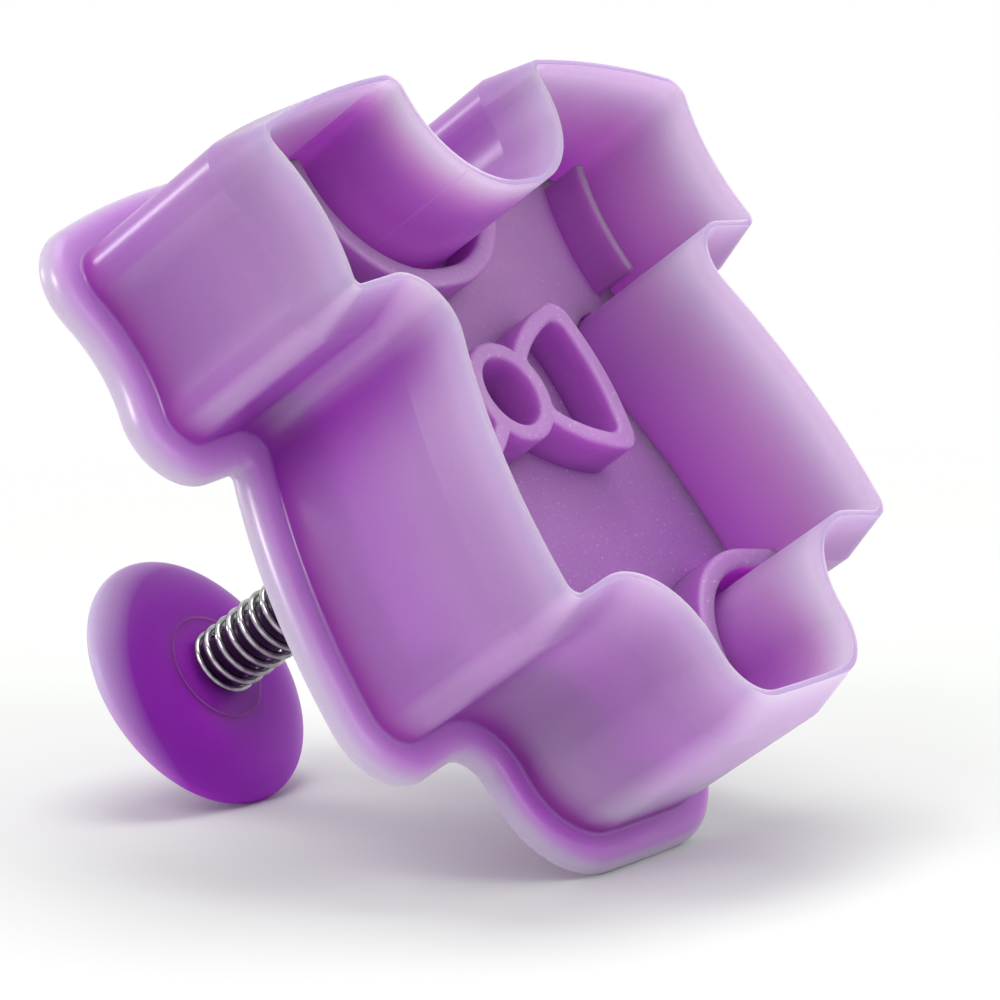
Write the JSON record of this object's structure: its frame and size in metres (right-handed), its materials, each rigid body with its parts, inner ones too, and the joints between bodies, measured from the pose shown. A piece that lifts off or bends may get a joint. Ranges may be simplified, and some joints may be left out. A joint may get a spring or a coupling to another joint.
{
  "type": "plunger cutter",
  "caption": "Spring plunger cutter with a bodysuit-shaped blade, embossing plate with bow, flanged back and mushroom knob.",
  "frame": {"origin": "middle of the outline's bounding box, in the plane of the cutting edge", "axes": "+Z from the cutting edge to the knob along the plunger, +Y from the neck to the crotch, +X across the sleeves"},
  "size_m": [0.069, 0.0686, 0.0606],
  "materials": {
    "shell_plastic": "translucent violet moulding with smooth walls",
    "stamp_plastic": "violet moulding with a fine satin grain on the face",
    "knob_plastic": "deep violet smooth moulding",
    "spring_steel": "bright drawn wire"
  },
  "bodies": {
    "cutter": {"cutter_shell": "shell_plastic", "return_spring": "spring_steel"},
    "plunger": {"stamp_plate": "stamp_plastic", "plunger_stem": "knob_plastic", "push_knob": "knob_plastic"}
  },
  "joints": [
    {"name": "plunger_slide", "type": "slide", "parent": "cutter", "child": "plunger", "axis": [0, 0, -1], "range_m": [0, 0.0115], "stiffness_N_per_m": 1000, "springref_m": -0.002, "deforming": ["return_spring"]}
  ]
}
